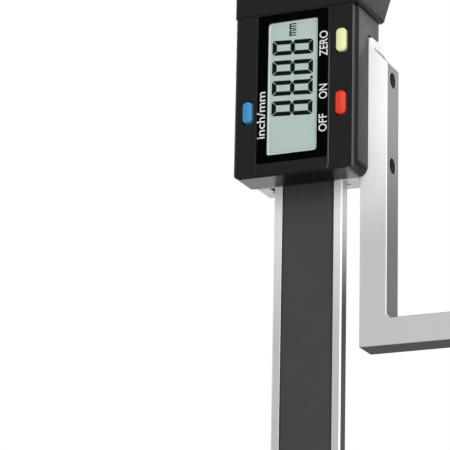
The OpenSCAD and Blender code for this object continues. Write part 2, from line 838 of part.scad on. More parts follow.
module button_cell() {
    color("#cfd0d2") on_head() {
        y_rod(cell_front, cell_back - cell_foot_h, cell_x, roller_z, cell_r);
        y_rod(cell_back - cell_foot_h, cell_back, cell_x, roller_z, cell_foot_r);
    }
}

module battery_contacts() {
    color("#d8c37c") on_head() {
        y_rod(bay_floor_y - contact_t, bay_floor_y, cell_x, roller_z, contact_r);
        block([cell_x - tail_w / 2, bay_floor_y - contact_t, board_top],
            [cell_x + tail_w / 2, bay_floor_y, roller_z]);
        block([cell_x - cell_r - cell_play, cell_front + contact_gap, roller_z - tail_w],
            [cell_x - cell_r - cell_play + contact_t, bay_floor_y, roller_z + tail_w]);
    }
}

// A button's cross-section, grown by a margin and carried between two depths
module button_shape(x, z, margin, from, to) {
    along_y(from, to)
        round_rect([x - button_w / 2 - margin, z - button_l / 2 - margin],
            [x + button_w / 2 + margin, z + button_l / 2 + margin], button_round + margin);
}

module button(x, z) {
    button_shape(x, z, 0, button_front, face_back + slide_play + button_rim_t);
    block([x - button_w / 2, face_back + slide_play, z - button_l / 2 - button_rim_l],
        [x + button_w / 2, face_back + slide_play + button_rim_t, z + button_l / 2 + button_rim_l]);
    y_rod(face_back + slide_play, button_stem_end, x, z, button_stem_r);
}

module zero_button() {
    color("#e8ebb8") on_head() button(right_button_x, zero_button_z);
}

module power_button() {
    color("#e5432f") on_head() button(right_button_x, power_button_z);
}

module unit_button() {
    color("#4a93c9") on_head() button(left_button_x, unit_button_z);
}

// Roller and lock screw
module roller_pin() {
    color("#aeb0b3") on_head() y_rod(pin_front, rest_reach, roller_x, roller_z, pin_r);
}

module thumb_roller() {
    color("#a9abae") on_head() difference() {
        y_rod(roller_y[0], roller_y[1], roller_x, roller_z, roller_r);
        y_rod(roller_y[0] - cut, roller_y[1] + cut, roller_x, roller_z, pin_r + slide_play);
        for (i = [0 : knurl_count - 1]) translate([roller_x, 0, roller_z]) rotate([0, i * 360 / knurl_count, 0])
            y_rod(roller_y[0] - cut, roller_y[1] + cut, roller_r + knurl_r / 3, 0, knurl_r);
    }
}

module lock_screw() {
    color("#a9abae") on_head() difference() {
        union() {
            x_rod(knob_right - knob_l, knob_right, beam_mid_y, lock_z, knob_r);
            x_rod(knob_right - cut, gib_left - pad_l - slide_play, beam_mid_y, lock_z, lock_tip_r);
        }
        for (i = [0 : knob_grooves - 1])
            translate([0, beam_mid_y, lock_z]) rotate([i * 360 / knob_grooves, 0, 0])
                x_rod(knob_right - knob_l - cut, knob_right + cut, 0, knob_r + knob_groove_r / 3, knob_groove_r);
    }
}

// Battery cover: front, left and right walls and an end, with a rail on each side wall
module battery_cover() {
    color("#2a2929") on_head() {
        difference() {
            intersection() {
                along_y(cover_front, skirt_y) mirror([0, 1, 0])
                    tub_outline([cover_left, -head_l], [cover_right + corner_r, -seam_z], corner_r);
                along_z(seam_z, head_l) eased_section(cover_left, cover_right + edge_w, cover_front, skirt_y);
            }
            block([cover_left + cover_t, cover_inner_front, seam_z - cut],
                [cover_right - cover_t, skirt_y + cut, head_l - cover_t]);
            block([cover_right, cover_front - cut, seam_z - cut],
                [cover_right + corner_r + cut, skirt_y + cut, head_l + cut]);
            block([cover_left + cover_t, slider_front - panel_gap, seam_z - cut],
                [cover_right + cut, skirt_y + cut, head_l + cut]);
            block([cover_right - cover_t - cut, cover_right_back, seam_z - cut],
                [cover_right + cut, skirt_y + cut, head_l - cover_t]);
            for (i = [0 : grip_count - 1])
                translate([(cover_left + cover_right) / 2, cover_front, roller_z + grip_pitch * i])
                    rotate([0, 90, 0]) cylinder(r = grip_r, h = grip_l, center = true);
        }
        for (side = [cover_left + cover_t - cut, cover_right - cover_t - rail_d + panel_gap])
            block([side, rail_y, seam_z + rail_low_gap],
                [side + rail_d + cut - panel_gap, rail_y + rail_w, head_l - cover_t]);
    }
}

base_block();
clamp_plate();
clamp_screws();
base_magnets();
magnet_screws();
beam();
stator_strip();
scale_film();
end_stop();
end_stop_screws();
slider_body();
gib_strip();
gib_screws();
lock_pad();
measuring_arm();
arm_screws();
front_housing();
housing_screws();
display_bezel();
display_window();
lcd_panel();
zebra_strips();
circuit_board();
controller_chip();
switch_domes();
button_cell();
battery_contacts();
roller_pin();
thumb_roller();
lock_screw();
zero_button();
power_button();
unit_button();
battery_cover();
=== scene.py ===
"""Finishes a digital height gauge on its CAD frame.

The frame gives every construction piece at its real place, in metres. This file adds what the eye meets:
rounded edges, ground and knurled metal, plastic, the display's segments, the lettering and a plain studio.
"""

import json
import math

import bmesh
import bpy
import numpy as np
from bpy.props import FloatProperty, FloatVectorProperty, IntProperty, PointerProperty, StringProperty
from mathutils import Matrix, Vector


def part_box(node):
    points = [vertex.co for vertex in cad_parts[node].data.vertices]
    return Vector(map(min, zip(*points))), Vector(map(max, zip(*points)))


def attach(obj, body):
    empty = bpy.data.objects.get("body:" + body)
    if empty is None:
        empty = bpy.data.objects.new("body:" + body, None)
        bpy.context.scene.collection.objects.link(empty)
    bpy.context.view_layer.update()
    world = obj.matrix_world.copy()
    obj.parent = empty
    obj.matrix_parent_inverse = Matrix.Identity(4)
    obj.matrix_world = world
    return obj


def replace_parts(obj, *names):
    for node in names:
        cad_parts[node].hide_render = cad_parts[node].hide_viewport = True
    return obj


bl_info = {
    "name": "Digital Height Gauge",
    "version": (1, 0, 0),
    "blender": (4, 5, 0),
    "location": "3D Viewport > Sidebar > Height Gauge",
    "description": "Dresses a digital height gauge: metal, plastic, display, lettering and studio",
    "category": "Object",
}

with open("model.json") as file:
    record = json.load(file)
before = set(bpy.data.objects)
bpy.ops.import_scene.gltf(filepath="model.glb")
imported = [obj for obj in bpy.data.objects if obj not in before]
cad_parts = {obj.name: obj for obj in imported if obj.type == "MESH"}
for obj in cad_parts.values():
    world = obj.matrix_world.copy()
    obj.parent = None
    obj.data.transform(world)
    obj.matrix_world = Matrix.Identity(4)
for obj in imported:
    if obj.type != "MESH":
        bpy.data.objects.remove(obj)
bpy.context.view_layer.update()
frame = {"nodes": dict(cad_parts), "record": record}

MM = 0.001
NODES = frame["nodes"]
RECORD = frame["record"]
BODY_OF = {node: body for body, nodes in RECORD["behaviour"]["bodies"].items() for node in nodes}
SLOT_OF = {part["node"]: part["material_slot"] for part in RECORD["subparts"]}
COLOUR_OF = {slot["slot"]: tuple(slot["base_color"][:3]) for slot in RECORD["materials"]}

# Each soft light: its angles in degrees round the display and above it, its distance, its width and height,
# and the setting with its level.
LIGHTS = {
    "key_light": (35, 28, 0.7, (0.5, 0.5), "key_level"),
    "fill_light": (30, -14, 0.85, (0.6, 0.5), "fill_level"),
    "strip_light": (5, 17, 0.6, (0.1, 0.5), "strip_level"),
    "rim_light": (150, 26, 0.6, (0.4, 0.4), "rim_level"),
    "back_light": (215, 35, 0.9, (0.5, 0.5), "key_level"),
    "under_light": (205, -19, 0.7, (0.5, 0.16), "under_level"),
}

# Each label: its text, its side of the bezel, and its start and end in millimetres from the lower end.
LABELS = {
    "label_zero": ("ZERO", "right", 22.9, 28.7),
    "label_on": ("ON", "right", 13.1, 16.45),
    "label_off": ("OFF", "right", 5.65, 9.65),
    "label_units": ("inch/mm", "left", 5.7, 16.4),
}

# The bars that are lit for each digit, by their usual letters: a at the head, b and c down the right, d at
# the foot, e and f up the left, and g across the middle.
LIT = {
    "0": "daecfb", "1": "cb", "2": "dageb", "3": "dagcb", "4": "gcfb",
    "5": "dagcf", "6": "dagecf", "7": "acb", "8": "dagecfb", "9": "dagcfb",
}

# Rounding of a piece's edges in millimetres, and its facets.
ROUNDED = {
    "display_bezel": (0.07, 3), "beam": (0.06, 2), "end_stop": (0.08, 2), "end_stop_screws": (0.06, 2),
    "slider_body": (0.05, 2), "arm_screws": (0.05, 2), "gib_screws": (0.04, 2), "housing_screws": (0.05, 2),
    "clamp_plate": (0.12, 2), "clamp_screws": (0.22, 3), "base_magnets": (0.25, 3),
    "magnet_screws": (0.08, 2), "button_cell": (0.2, 3), "roller_pin": (0.1, 2),
}


# Settings


def length_setting(name, description, millimetres, least=0):
    """A length, kept in metres."""
    return FloatProperty(
        name=name, description=description, default=millimetres * MM, min=least * MM,
        precision=5, subtype="DISTANCE", unit="LENGTH",
    )


def angle_setting(name, description, degrees):
    return FloatProperty(
        name=name, description=description, default=math.radians(degrees), subtype="ANGLE", unit="ROTATION",
    )


def number_setting(name, description, default, least=0):
    return FloatProperty(name=name, description=description, default=default, min=least)


def level_setting(name, light, default):
    return number_setting(name, f"Brightness of the {light}, where 1 is white", default)


def colour_setting(name, place, default):
    return FloatVectorProperty(
        name=name, description=f"Colour of the {place}", default=default, min=0, max=1, subtype="COLOR",
    )


class StageSettings(bpy.types.PropertyGroup):
    """Camera, floor and lights."""

    camera_place: FloatVectorProperty(
        name="Camera place", description="Where the camera stands", default=(0.2272, -0.5306, -0.0587),
        precision=4, subtype="TRANSLATION", unit="LENGTH",
    )
    camera_azimuth: angle_setting("Camera azimuth", "Angle from the front towards the right side", 24.951)
    camera_elevation: angle_setting("Camera elevation", "Angle above the gauge", -16.92)
    camera_roll: angle_setting("Camera roll", "Turn about the line of sight", 1.2855)
    focal_length: number_setting("Focal length", "In millimetres on a sensor 36 mm wide", 223.5, 10)
    floor_radius: length_setting("Floor radius", "Radius of the floor under the gauge", 250, 100)
    floor_colour: colour_setting("Floor colour", "floor", (0.82, 0.82, 0.82))
    surround: level_setting("Surround", "even light from all sides", 0.38)
    key_level: level_setting("Key light", "large soft lights", 2.7)
    fill_level: level_setting("Fill light", "low soft light in front", 2.9)
    strip_level: level_setting("Strip light", "narrow light that draws the edges", 2.5)
    rim_level: level_setting("Rim light", "light behind the right side", 1.1)
    under_level: level_setting("Under light", "low light behind", 2.0)


class CaseSettings(bpy.types.PropertyGroup):
    """Plastic case and battery cover."""

    panel_round: length_setting("Panel rounding", "Rounding along the raised panel", 0.17)
    panel_rise: length_setting("Panel rise", "How far the raised panel stands out", 0.2)
    cover_round: length_setting("Cover rounding", "Rounding of the battery cover's lower edge", 0.15)
    colour: colour_setting("Case colour", "moulded plastic", (0.0061, 0.0057, 0.0057))
    # Painted highlight on the case's rounded left front edge and on the right edges in front of the panel.
    highlight_painted: colour_setting("Painted edge highlight", "plastic where its edges are rubbed", (0.115, 0.112, 0.113))
    step_wall: length_setting("Step wall", "Where the step along the front's right edge is on X", 13.3)
    # Painted highlight on the wall of the step along the front's right edge.
    wall_highlight_colour: colour_setting("Step wall highlight", "wall of that step", (0.11, 0.108, 0.11))
    grain: length_setting("Grain", "Size of the moulded texture", 0.16, 0.01)


class DisplaySettings(bpy.types.PropertyGroup):
    """Liquid-crystal display and the lettering round it."""

    reading: StringProperty(name="Reading", description="Number on the display", default="88.88")
    digit_h: length_setting("Digit height", "Height of a digit", 9.65)
    digit_w: length_setting("Digit width", "Width of a digit", 3.44)
    digit_pitch: length_setting("Digit pitch", "Distance from one digit to the next", 4.66)
    digit_slant: number_setting("Digit slant", "A digit's sideways lean for its height", 0.067)
    bar_w: length_setting("Upright bar width", "Width of a digit's upright bars", 0.96)
    rung_w: length_setting("Cross bar width", "Width of a digit's three cross bars", 1.06)
    corner_cut: length_setting("Corner cut", "Cut across a digit's outer corners", 0.4)
    bar_gap: length_setting("Bar gap", "Clear gap where two bars of a digit meet", 0.13)
    first_digit: length_setting("First digit", "From the window's lower end to the first digit", 8.35)
    baseline: length_setting("Baseline", "From the window's right side to the digits' feet", 1.25)
    letter_h: length_setting("Letter height", "Height of the capitals beside the display", 1.95)
    letter_colour: colour_setting("Letters", "lettering", (0.7, 0.7, 0.7))
    glass_colour: colour_setting("Display colour", "display behind its digits", COLOUR_OF["lcd_grey"])
    bezel_colour: colour_setting("Bezel", "black bezel", (0.0006, 0.001, 0.0009))
    rim_w: length_setting("Rim width", "Width of the pale rim round the display", 0.4)
    rim_colour: colour_setting("Rim", "pale rim", (0.7, 0.76, 0.745))


class ButtonSettings(bpy.types.PropertyGroup):
    """Three buttons."""

    shoulder: length_setting("Shoulder", "Rounding between a button's side and its top", 0.45)
    unit_trim: length_setting("Unit button trim", "How much shorter that button is at each end", 0.22)
    zero_colour: colour_setting("Zero button", "zero button", (0.744, 0.772, 0.432))
    power_colour: colour_setting("Power button", "power button", (0.647, 0.036, 0.011))
    unit_colour: colour_setting("Unit button", "unit button", (0.041, 0.232, 0.476))


class MetalSettings(bpy.types.PropertyGroup):
    """Beam, slider, arm and their screws."""

    arm_edge: length_setting("Arm edge", "Rounding of the measuring arm's edges", 0.17)
    neck_h: length_setting("Neck height", "From the arm's top down to its slope", 6.4)
    face_colour: colour_setting("Ground face", "beam's ground faces", (0.72, 0.714, 0.724))
    # Painted shade: darker copies of the steel colour for the sides of the slider, the beam and the arm.
    shaded_side_colour: colour_setting("Shade-painted side", "slider's shade_painted sides", (0.205, 0.203, 0.207))
    beam_shaded_side_colour: colour_setting("Beam side", "beam's shade_painted sides", (0.115, 0.113, 0.117))
    arm_colour: colour_setting("Arm face", "arm's ground faces", (0.985, 0.98, 0.99))
    arm_shaded_side_colour: colour_setting("Arm side", "arm's shade_painted sides", (0.36, 0.353, 0.363))
    # Painted shade on the faces under the foot.
    underside_shade_colour: colour_setting("Underside shade", "face under the foot", (0.02, 0.019, 0.02))
    knurl_count: IntProperty(name="Roller grooves", description="Round the thumb roller", default=40, min=8)
    knob_count: IntProperty(name="Knob grooves", description="Round the lock knob", default=24, min=8)


class BaseSettings(bpy.types.PropertyGroup):
    """Magnetic base."""

    edge_round: length_setting("Edge rounding", "Rounding of the base's edges", 0.45)
    colour: colour_setting("Enamel", "enamel on the base", COLOUR_OF["base_paint"])
    # Painted shade on the clamp plate's sides.
    clamp_shaded_side: colour_setting("Clamp side", "clamp plate's shade_painted sides", (0.07, 0.07, 0.072))


SETTINGS = {
    "gauge_stage": StageSettings,
    "gauge_case": CaseSettings,
    "gauge_display": DisplaySettings,
    "gauge_buttons": ButtonSettings,
    "gauge_metal": MetalSettings,
    "gauge_base": BaseSettings,
}


# Shader expressions and finishes


class Value:
    """A socket in a node tree. Arithmetic on it adds the nodes that work it out."""

    def __init__(self, nodes, socket):
        self.nodes = nodes
        self.socket = socket

    def math(self, operation, *others):
        return self.nodes.node("ShaderNodeMath", {"operation": operation}, dict(enumerate((self, *others))))

    def __add__(self, other):
        return self.math("ADD", other)

    def __sub__(self, other):
        return self.math("SUBTRACT", other)

    def __mul__(self, other):
        return self.math("MULTIPLY", other)

    def __truediv__(self, other):
        return self.math("DIVIDE", other)

    def __rsub__(self, other):
        return self.nodes.node("ShaderNodeMath", {"operation": "SUBTRACT"}, {0: other, 1: self})

    __radd__ = __add__
    __rmul__ = __mul__

    def size(self):
        return self.math("ABSOLUTE")

    def band(self, low, high):
        """0 below low, 1 above high, and smooth between them."""
        inputs = {"Value": self, "From Min": low, "From Max": high}
        return self.nodes.node("ShaderNodeMapRange", {"interpolation_type": "SMOOTHSTEP"}, inputs)


class Nodes:
    """A node tree that is being filled."""

    def __init__(self, tree):
        self.tree = tree

    def node(self, kind, settings=None, inputs=None, output=0):
        """Adds a node with its settings and inputs, and returns one of its outputs as a Value."""
        made = self.tree.nodes.new(kind)
        for name, value in (settings or {}).items():
            setattr(made, name, value)
        for name, value in (inputs or {}).items():
            self.connect(made.inputs[name], value)
        return Value(self, made.outputs[output])

    def connect(self, socket, value):
        """Links a Value into a socket, or sets a plain number or colour on it."""
        if isinstance(value, Value):
            self.tree.links.new(value.socket, socket)
        elif socket.type == "RGBA" and len(value) == 3:
            socket.default_value = (*value, 1)
        else:
            socket.default_value = value


class Finish(Nodes):
    """A material being made: one Principled shader, and the nodes that feed it."""

    def __init__(self, name, **constants):
        self.material = bpy.data.materials.new(name)
        self.material.use_nodes = True
        super().__init__(self.material.node_tree)
        self.shader = self.tree.nodes["Principled BSDF"]
        self.place = self.node("ShaderNodeTexCoord", output="Object")
        for name, value in constants.items():
            self.feed(name.replace("_", " ").title().replace("Ior", "IOR"), value)

    def feed(self, name, value):
        self.connect(self.shader.inputs[name], value)

    def stretched(self, scale, turn=(0, 0, 0)):
        """The piece's own coordinates, scaled and turned for a pattern."""
        return self.node("ShaderNodeMapping", inputs={"Vector": self.place, "Scale": scale, "Rotation": turn})

    def noise(self, scale, detail=2.0, rough=0.5, vector=None):
        inputs = {"Vector": vector or self.place, "Scale": scale, "Detail": detail, "Roughness": rough}
        return self.node("ShaderNodeTexNoise", inputs=inputs)

    def mix(self, share, first, second, blend="MIX"):
        """Colour between two, by a share from 0 to 1."""
        settings = {"data_type": "RGBA", "blend_type": blend}
        return self.node("ShaderNodeMix", settings, {0: share, 6: first, 7: second}, output=2)

    def shaded(self, colour, level):
        """A colour made lighter or darker by a level round 1."""
        grey = self.node("ShaderNodeCombineColor", inputs={0: level, 1: level, 2: level})
        return self.mix(1.0, colour, grey, "MULTIPLY")

    def along(self, axis, vector=None):
        """One axis of the piece's own coordinates, in metres, or of another vector."""
        return self.node("ShaderNodeSeparateXYZ", inputs={0: vector or self.place}, output=axis)

    def facing(self):
        """How much a surface faces along X, Y and Z, with its sign, in the piece's own frame."""
        normal = self.node("ShaderNodeTexCoord", output="Normal")
        return [self.along(axis, normal) for axis in range(3)]

    def done(self, colour, roughness, height=None, depth=0.0, strength=0.5):
        """Feeds colour, roughness and a relief that is depth metres high, and returns the material."""
        self.feed("Base Color", colour)
        self.feed("Roughness", roughness)
        if height:
            inputs = {"Height": height, "Distance": depth, "Strength": strength}
            self.feed("Normal", self.node("ShaderNodeBump", inputs=inputs))
        return self.material


def dimmed(slot, share):
    """The colour that the record gives a slot, at a share of its brightness."""
    return tuple(share * level for level in COLOUR_OF[slot])


def moulded_plastic(name, colour, grain, highlight_painted=None, panel=(), fade=(), wall=None):
    """Black moulding with a fine spark-eroded grain and faint flow marks.

    Where a highlight colour is given, a painted highlight makes the front's rounded left edge a little paler,
    and the right edge of what stands in front of the panel's places on Y too, a line that fades out upwards
    between the heights of fade. A wall is a step's place on X, the height where it ends and the paler colour
    of the painted highlight on it.
    """
    finish = Finish(name, ior=1.6, specular_ior_level=0.105)
    fine = finish.node("ShaderNodeTexVoronoi", inputs={"Vector": finish.place, "Scale": 1 / grain})
    coarse = finish.noise(90, detail=3)
    wear_and_highlight = finish.noise(420)
    relief, wall_in, wall_out, wall_end = 0.008 * MM, 0.06 * MM, 0.12 * MM, 0.4 * MM
    face_x, face_y = finish.facing()[:2]
    # Painted highlight: a paler colour on the rounded left front edge and on right edges in front of the
    # panel, fading out upwards.
    if highlight_painted:
        turning = (0 - face_x).band(0.1, 0.4) * (0 - face_y).band(0.2, 0.4)
        panel_edge_highlight = face_x.band(0.1, 0.3) * (1 - finish.along(1).band(*panel))
        panel_edge_highlight = panel_edge_highlight * (1 - finish.along(2).band(*fade))
        colour = finish.mix(panel_edge_highlight.math("MAXIMUM", 0.25 * turning) * (0.5 + 0.4 * wear_and_highlight), colour, highlight_painted)
    # Painted highlight: the step wall is given a paler colour up to the height where it ends.
    if wall:
        beside, top, paler = wall
        on_wall = face_x.band(0.85, 0.98) * (1 - (finish.along(0) - beside).size().band(wall_in, wall_out))
        colour = finish.mix(on_wall * (1 - finish.along(2).band(top - wall_end, top)), colour, paler)
    colour = finish.shaded(colour, 0.86 + 0.2 * coarse + 0.12 * wear_and_highlight)
    roughness = 0.26 + 0.1 * wear_and_highlight + 0.05 * fine + 0.05 * face_x.band(0.8, 0.97)
    return finish.done(colour, roughness, fine * 0.7 + 0.3 * finish.noise(0.5 / grain), relief, 0.45)


def smooth_plastic(name, colour, gloss=0.3, roughness=0.22):
    """Polished moulding with faint sink marks and fine handling scratches."""
    finish = Finish(name, ior=1.48, specular_ior_level=gloss)
    soft = finish.noise(160)
    scratches = finish.noise(900, detail=3, vector=finish.stretched((1, 1, 0.08), (0.2, 0.5, 0.1)))
    roughness = roughness + 0.1 * scratches.band(0.45, 0.75)
    return finish.done(finish.shaded(colour, 0.95 + 0.1 * soft), roughness, soft, 0.01 * MM, 0.4)


def ground_steel(
    name, face, side, underside_shade=None, grain=(260, 260, 7), edge=0.8, metal=0.5, fade=None, neck=None, bores=(),
):
    """Steel ground bright on its front and back. Painted shade makes its sides and upward slanting faces
    darker, and its downward faces darker still where an underside colour is given; a painted highlight makes
    the rounded edges between them paler.

    A fade is (low, high, level): painted shade makes the finish level times as bright below low, and full
    from high on. Over the two heights of the neck the painted shade of the sides ends, so that above it the
    sides are as bright as the front. A bore is (y, z, radius) in millimetres, and has painted shade inside.
    """
    finish = Finish(name, metallic=metal, ior=1.12, specular_tint=(0.5, 0.5, 0.5))
    face_x, face_y, face_z = finish.facing()
    streaks = finish.noise(12, detail=5, rough=0.62, vector=finish.stretched(grain))
    clouds = finish.noise(28)
    sideways = face_x.size().band(0.8, 0.97)
    under = (0 - face_z).band(0.8, 0.97)
    if neck:
        sideways = sideways * (1 - finish.along(2).band(*neck))
    # Painted shade: sides, downward faces and upward slanting faces get darker colours by their facing.
    colour = finish.mix(sideways, face, side)
    if underside_shade:
        colour = finish.mix(under, colour, underside_shade)
    colour = finish.mix(face_z.band(0.3, 0.5) * (1 - face_z.band(0.9, 0.97)), colour, side)
    # Painted highlight: the rounded edges between front and sides get their own paler edge colour.
    rounded = (face_x * face_y).size().band(0.25, 0.45)
    # Painted shade inside the bores.
    bore_shade_level, first, last = 0.06, 1.01, 1.06
    for y, z, radius in bores:
        away_y, away_z = finish.along(1) / MM - y, finish.along(2) / MM - z
        outside = (away_y * away_y + away_z * away_z).band((first * radius) ** 2, (last * radius) ** 2)
        colour = finish.mix(outside, (bore_shade_level,) * 3, colour)
        rounded = rounded * outside
    level = 0.9 + 0.13 * streaks + 0.07 * clouds
    # Painted shade below the fade's low height, rising to full brightness at its high one.
    if fade:
        low, high, dull = fade
        level = level * (dull + (1 - dull) * finish.along(2).band(low, high))
    colour = finish.mix(rounded, finish.shaded(colour, level), (edge,) * 3)
    return finish.done(colour, 0.3 + 0.1 * streaks + 0.12 * sideways + 0.12 * under, streaks, 0.004 * MM)


def turned_steel(name, colour):
    """Turned and knurled steel with fine tool marks and darker and lighter clouds."""
    finish = Finish(name, metallic=1.0)
    marks = finish.noise(3200)
    clouds = finish.noise(240, detail=3)
    colour = finish.shaded(colour, 0.85 + 0.12 * marks + 0.14 * clouds)
    return finish.done(colour, 0.28 + 0.16 * clouds, marks, 0.004 * MM)


def plated_metal(name, colour, roughness=0.2):
    """Nickel, zinc or gold plate with a soft, slightly uneven shine."""
    finish = Finish(name, metallic=1.0)
    clouds = finish.noise(350, detail=3)
    colour = finish.shaded(colour, 0.92 + 0.14 * clouds)
    return finish.done(colour, roughness + 0.16 * clouds, finish.noise(2600), 0.003 * MM, 0.4)


def oxide_black(name, colour):
    """Black oxide on steel: a dull sheen with browner patches where the oil has dried."""
    finish = Finish(name, metallic=0.8)
    patches = finish.noise(300, detail=3)
    colour = finish.mix(patches.band(0.4, 0.7), colour, (0.045, 0.04, 0.036))
    return finish.done(colour, 0.34 + 0.2 * patches, finish.noise(3000), 0.004 * MM)


def enamel(name, colour):
    """Stoved enamel with a fine orange peel and faint clouds."""
    finish = Finish(name, ior=1.5, specular_ior_level=0.45, coat_weight=0.15, coat_roughness=0.2)
    clouds = finish.noise(45, detail=3)
    colour = finish.shaded(colour, 0.85 + 0.3 * clouds)
    return finish.done(colour, 0.38 + 0.12 * clouds, finish.noise(1500), 0.02 * MM, 0.6)


def printed_film(name, colour, half_width):
    """Dark printed film: a faint mottle, fine wiping marks along it, and a darker line along each edge."""
    finish = Finish(name, ior=1.45, specular_ior_level=0.28)
    mottle = finish.noise(130, detail=4, rough=0.6)
    wiped = finish.noise(14, detail=4, vector=finish.stretched((90, 90, 5)))
    line_in, line_out = 0.75 * MM, 0.15 * MM
    at_edge = finish.along(0).size().band(half_width - line_in, half_width - line_out)
    level = 0.8 + 0.26 * mottle + 0.14 * wiped
    colour = finish.shaded(colour, level * (1 - 0.45 * at_edge))
    return finish.done(colour, 0.42 + 0.16 * mottle, finish.noise(2400), 0.006 * MM)


def liquid_crystal(name, colour):
    """Reflective display: an even grey-green with the faintest cloud, behind a matt polariser."""
    finish = Finish(name, ior=1.45, specular_ior_level=0.12)
    sparkle = finish.noise(5200, detail=1)
    colour = finish.shaded(colour, 0.97 + 0.05 * finish.noise(55) + 0.02 * sparkle)
    return finish.done(colour, 0.45 + 0.1 * sparkle)


def printed_ink(name, colour, roughness=0.5, gloss=0.06):
    """Screen-printed ink with a slightly uneven film."""
    finish = Finish(name, ior=1.45, specular_ior_level=gloss)
    film = finish.noise(1700, detail=3)
    return finish.done(finish.shaded(colour, 0.93 + 0.12 * film), roughness + 0.12 * film)


def window_plastic(name, colour):
    """Clear window, hard coated, with a faint haze of wiping marks."""
    finish = Finish(name, ior=1.49, specular_ior_level=0.1)
    haze = finish.noise(700, detail=3, vector=finish.stretched((1, 1, 0.1), (0.3, 0.2, 0.4)))
    finish.feed("Alpha", 0.02 + 0.015 * haze)
    return finish.done(finish.shaded(colour, 0.1 + 0.02 * haze), 0.05 + 0.08 * haze.band(0.5, 0.8))


def solder_mask(name, slot, share):
    """Green circuit board: copper tracks show as paler lines under the mask."""
    finish = Finish(name, ior=1.5, specular_ior_level=0.5)
    lying = finish.stretched((210, 210, 210), (math.pi / 2, 0, 0))
    inputs = {"Vector": lying, "Mortar Size": 0.03, "Scale": 1.0}
    tracks = finish.node("ShaderNodeTexBrick", {"offset": 0.37}, inputs, output=1)
    colour = finish.mix(tracks, dimmed(slot, share), dimmed(slot, 2.2 * share))
    return finish.done(colour, 0.3 + 0.15 * finish.noise(300), tracks, 0.02 * MM)


def laminate(name, slot):
    """Glass-cloth laminate with a woven look under its resin."""
    finish = Finish(name, ior=1.5, specular_ior_level=0.4)
    settings = {"wave_type": "BANDS", "bands_direction": "Z"}
    weave = finish.node("ShaderNodeTexWave", settings, {"Vector": finish.place, "Scale": 900})
    colour = finish.mix(weave, dimmed(slot, 1), dimmed(slot, 0.75))
    return finish.done(colour, 0.35 + 0.1 * finish.noise(200))


# Meshes


def placed(mesh, finish, node, sharp=None):
    """A piece with a mesh and a finish that rides with a CAD node. It is smooth except over sharp edges."""
    mesh.materials.append(finish)
    if sharp:
        mesh.polygons.foreach_set("use_smooth", np.ones(len(mesh.polygons), bool))
        mesh.set_sharp_from_angle(angle=math.radians(sharp))
    piece = bpy.data.objects.new(mesh.name, mesh)
    bpy.context.scene.collection.objects.link(piece)
    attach(piece, BODY_OF[node])
    return piece


def surface(name, points, faces, finish, node, slot, sharp):
    """A new piece from an array of points in millimetres and its faces."""
    mesh = bpy.data.meshes.new(name)
    mesh.from_pydata((np.asarray(points, float) * MM).tolist(), [], [list(map(int, face)) for face in faces])
    mesh.validate()
    return placed(mesh, finish, node, sharp)


def stand_in(node, ending, shape, finish, sharp=32):
    """A new piece that replaces a CAD node, from its points and faces."""
    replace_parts(surface(node + ending, *shape, finish, node, SLOT_OF[node], sharp), node)


def ring_faces(rings, around, start=0, closed=False):
    """Quads between neighbouring rings of points, each ring closed on itself."""
    row = np.arange(rings if closed else rings - 1)[:, None]
    column = np.arange(around)[None, :]
    beside = (column + 1) % around
    above = (row + 1) % rings
    quads = (row * around + column, row * around + beside, above * around + beside, above * around + column)
    return start + np.stack([np.broadcast_to(q, quads[1].shape) for q in quads], axis=-1).reshape(-1, 4)


def lofted(rings):
    """Points and faces of a closed solid through rings of points, flat at its first and last ring."""
    rings = np.asarray(rings, float)
    count, around = rings.shape[:2]
    faces = ring_faces(count, around).tolist()
    faces.append(list(range(around))[::-1])
    faces.append(list(range((count - 1) * around, count * around)))
    return rings.reshape(-1, 3), faces


def round_rect(low, high, radius):
    """Outline of a rectangle with round corners: quarter circles, anticlockwise from the lower right."""
    steps, hair = 8, 1e-6
    radius = min(radius, (high[0] - low[0]) / 2 - hair, (high[1] - low[1]) / 2 - hair)
    left, right = low[0] + radius, high[0] - radius
    bottom, top = low[1] + radius, high[1] - radius
    turn = np.linspace(0, math.pi / 2, steps)
    parts = []
    for quarter, (x, z) in enumerate(((right, bottom), (right, top), (left, top), (left, bottom)), start=-1):
        angle = turn + quarter * math.pi / 2
        parts.append(np.stack([x + radius * np.cos(angle), z + radius * np.sin(angle)], axis=-1))
    return np.concatenate(parts)


def turned(centre, axis, profile, grooves, depth):
    """Points and faces of a body of revolution with grooves round it.

    The profile lists (place along the axis, radius, share of groove). The radius is the profile's, less depth
    times that share times the fourth power of the cosine of half the phase from groove to groove, so that
    grooves are narrow and the lands between them broad.
    """
    profile = np.asarray(profile, float)
    samples = 8
    angle = np.linspace(0, 2 * math.pi, grooves * samples, endpoint=False)
    groove = np.cos(angle * grooves / 2) ** 4
    radius = profile[:, 1:2] - depth * profile[:, 2:3] * groove[None, :]
    along = np.broadcast_to(profile[:, 0:1], radius.shape)
    sideways, upward = radius * np.cos(angle), radius * np.sin(angle)
    order = {"X": (along, sideways, upward), "Y": (upward, along, sideways)}[axis]
    points = np.stack(order, axis=-1) + np.asarray(centre, float)
    return points.reshape(-1, 3), ring_faces(len(profile), len(angle), closed=True)


def mark_rounded(shell, rule):
    """Gives each edge its bevel weight, by a rule on the edges' middles and turning angles."""
    ends = np.array([[edge.verts[0].co[:], edge.verts[1].co[:]] for edge in shell.edges]) / MM
    angles = np.degrees([abs(edge.calc_face_angle(0.0)) for edge in shell.edges])
    weights = rule(ends.mean(axis=1), angles)
    layer = shell.edges.layers.float.new("bevel_weight_edge")
    for edge, weight in zip(shell.edges, weights):
        edge[layer] = float(weight)


